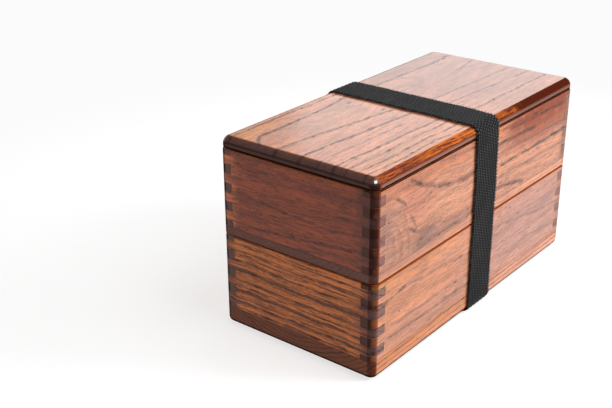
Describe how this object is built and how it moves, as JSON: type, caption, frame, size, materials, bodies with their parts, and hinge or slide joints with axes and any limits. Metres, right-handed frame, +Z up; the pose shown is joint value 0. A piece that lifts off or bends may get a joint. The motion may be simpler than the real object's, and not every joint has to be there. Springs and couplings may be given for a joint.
{
  "type": "wooden bento box",
  "caption": "Tiered wooden lunch box with finger-jointed corners and a lift-off lid, its stacked tiers held shut by a woven elastic band that slips off over either end.",
  "frame": {"origin": "middle of the box's outline, on the surface it stands on", "axes": "+Z up, Y along the box's length, +X towards the long side that the picture shows"},
  "size_m": [0.0986, 0.1944, 0.1071],
  "materials": {
    "lid_wood": "clear lacquer over open-grained red-brown wood, glossy",
    "side_wood": "clear lacquer over red-brown wood, satin gloss",
    "end_wood": "clear lacquer over striped red-brown wood, satin gloss",
    "bottom_wood": "clear lacquer over red-brown wood with dark end grain, satin gloss",
    "woven_elastic": "flat woven elastic, matt black"
  },
  "bodies": {
    "lower_tier": {"lower_bottom_board": "bottom_wood", "lower_front_end": "end_wood", "lower_back_end": "end_wood", "lower_right_side": "side_wood", "lower_left_side": "side_wood"},
    "upper_tier": {"upper_bottom_board": "bottom_wood", "upper_front_end": "end_wood", "upper_back_end": "end_wood", "upper_right_side": "side_wood", "upper_left_side": "side_wood"},
    "lid": {"lid": "lid_wood"},
    "band": {"elastic_band": "woven_elastic"}
  },
  "joints": [
    {"name": "tier_lift", "type": "slide", "parent": "lower_tier", "child": "upper_tier", "axis": [0, 0, 1], "range_m": [0, 0.085], "deforming": ["elastic_band"]},
    {"name": "lid_lift", "type": "slide", "parent": "upper_tier", "child": "lid", "axis": [0, 0, 1], "range_m": [0, 0.06], "deforming": ["elastic_band"]},
    {"name": "band_slip", "type": "slide", "parent": "lower_tier", "child": "band", "axis": [0, 1, 0], "range_m": [-0.111, 0.11]}
  ]
}
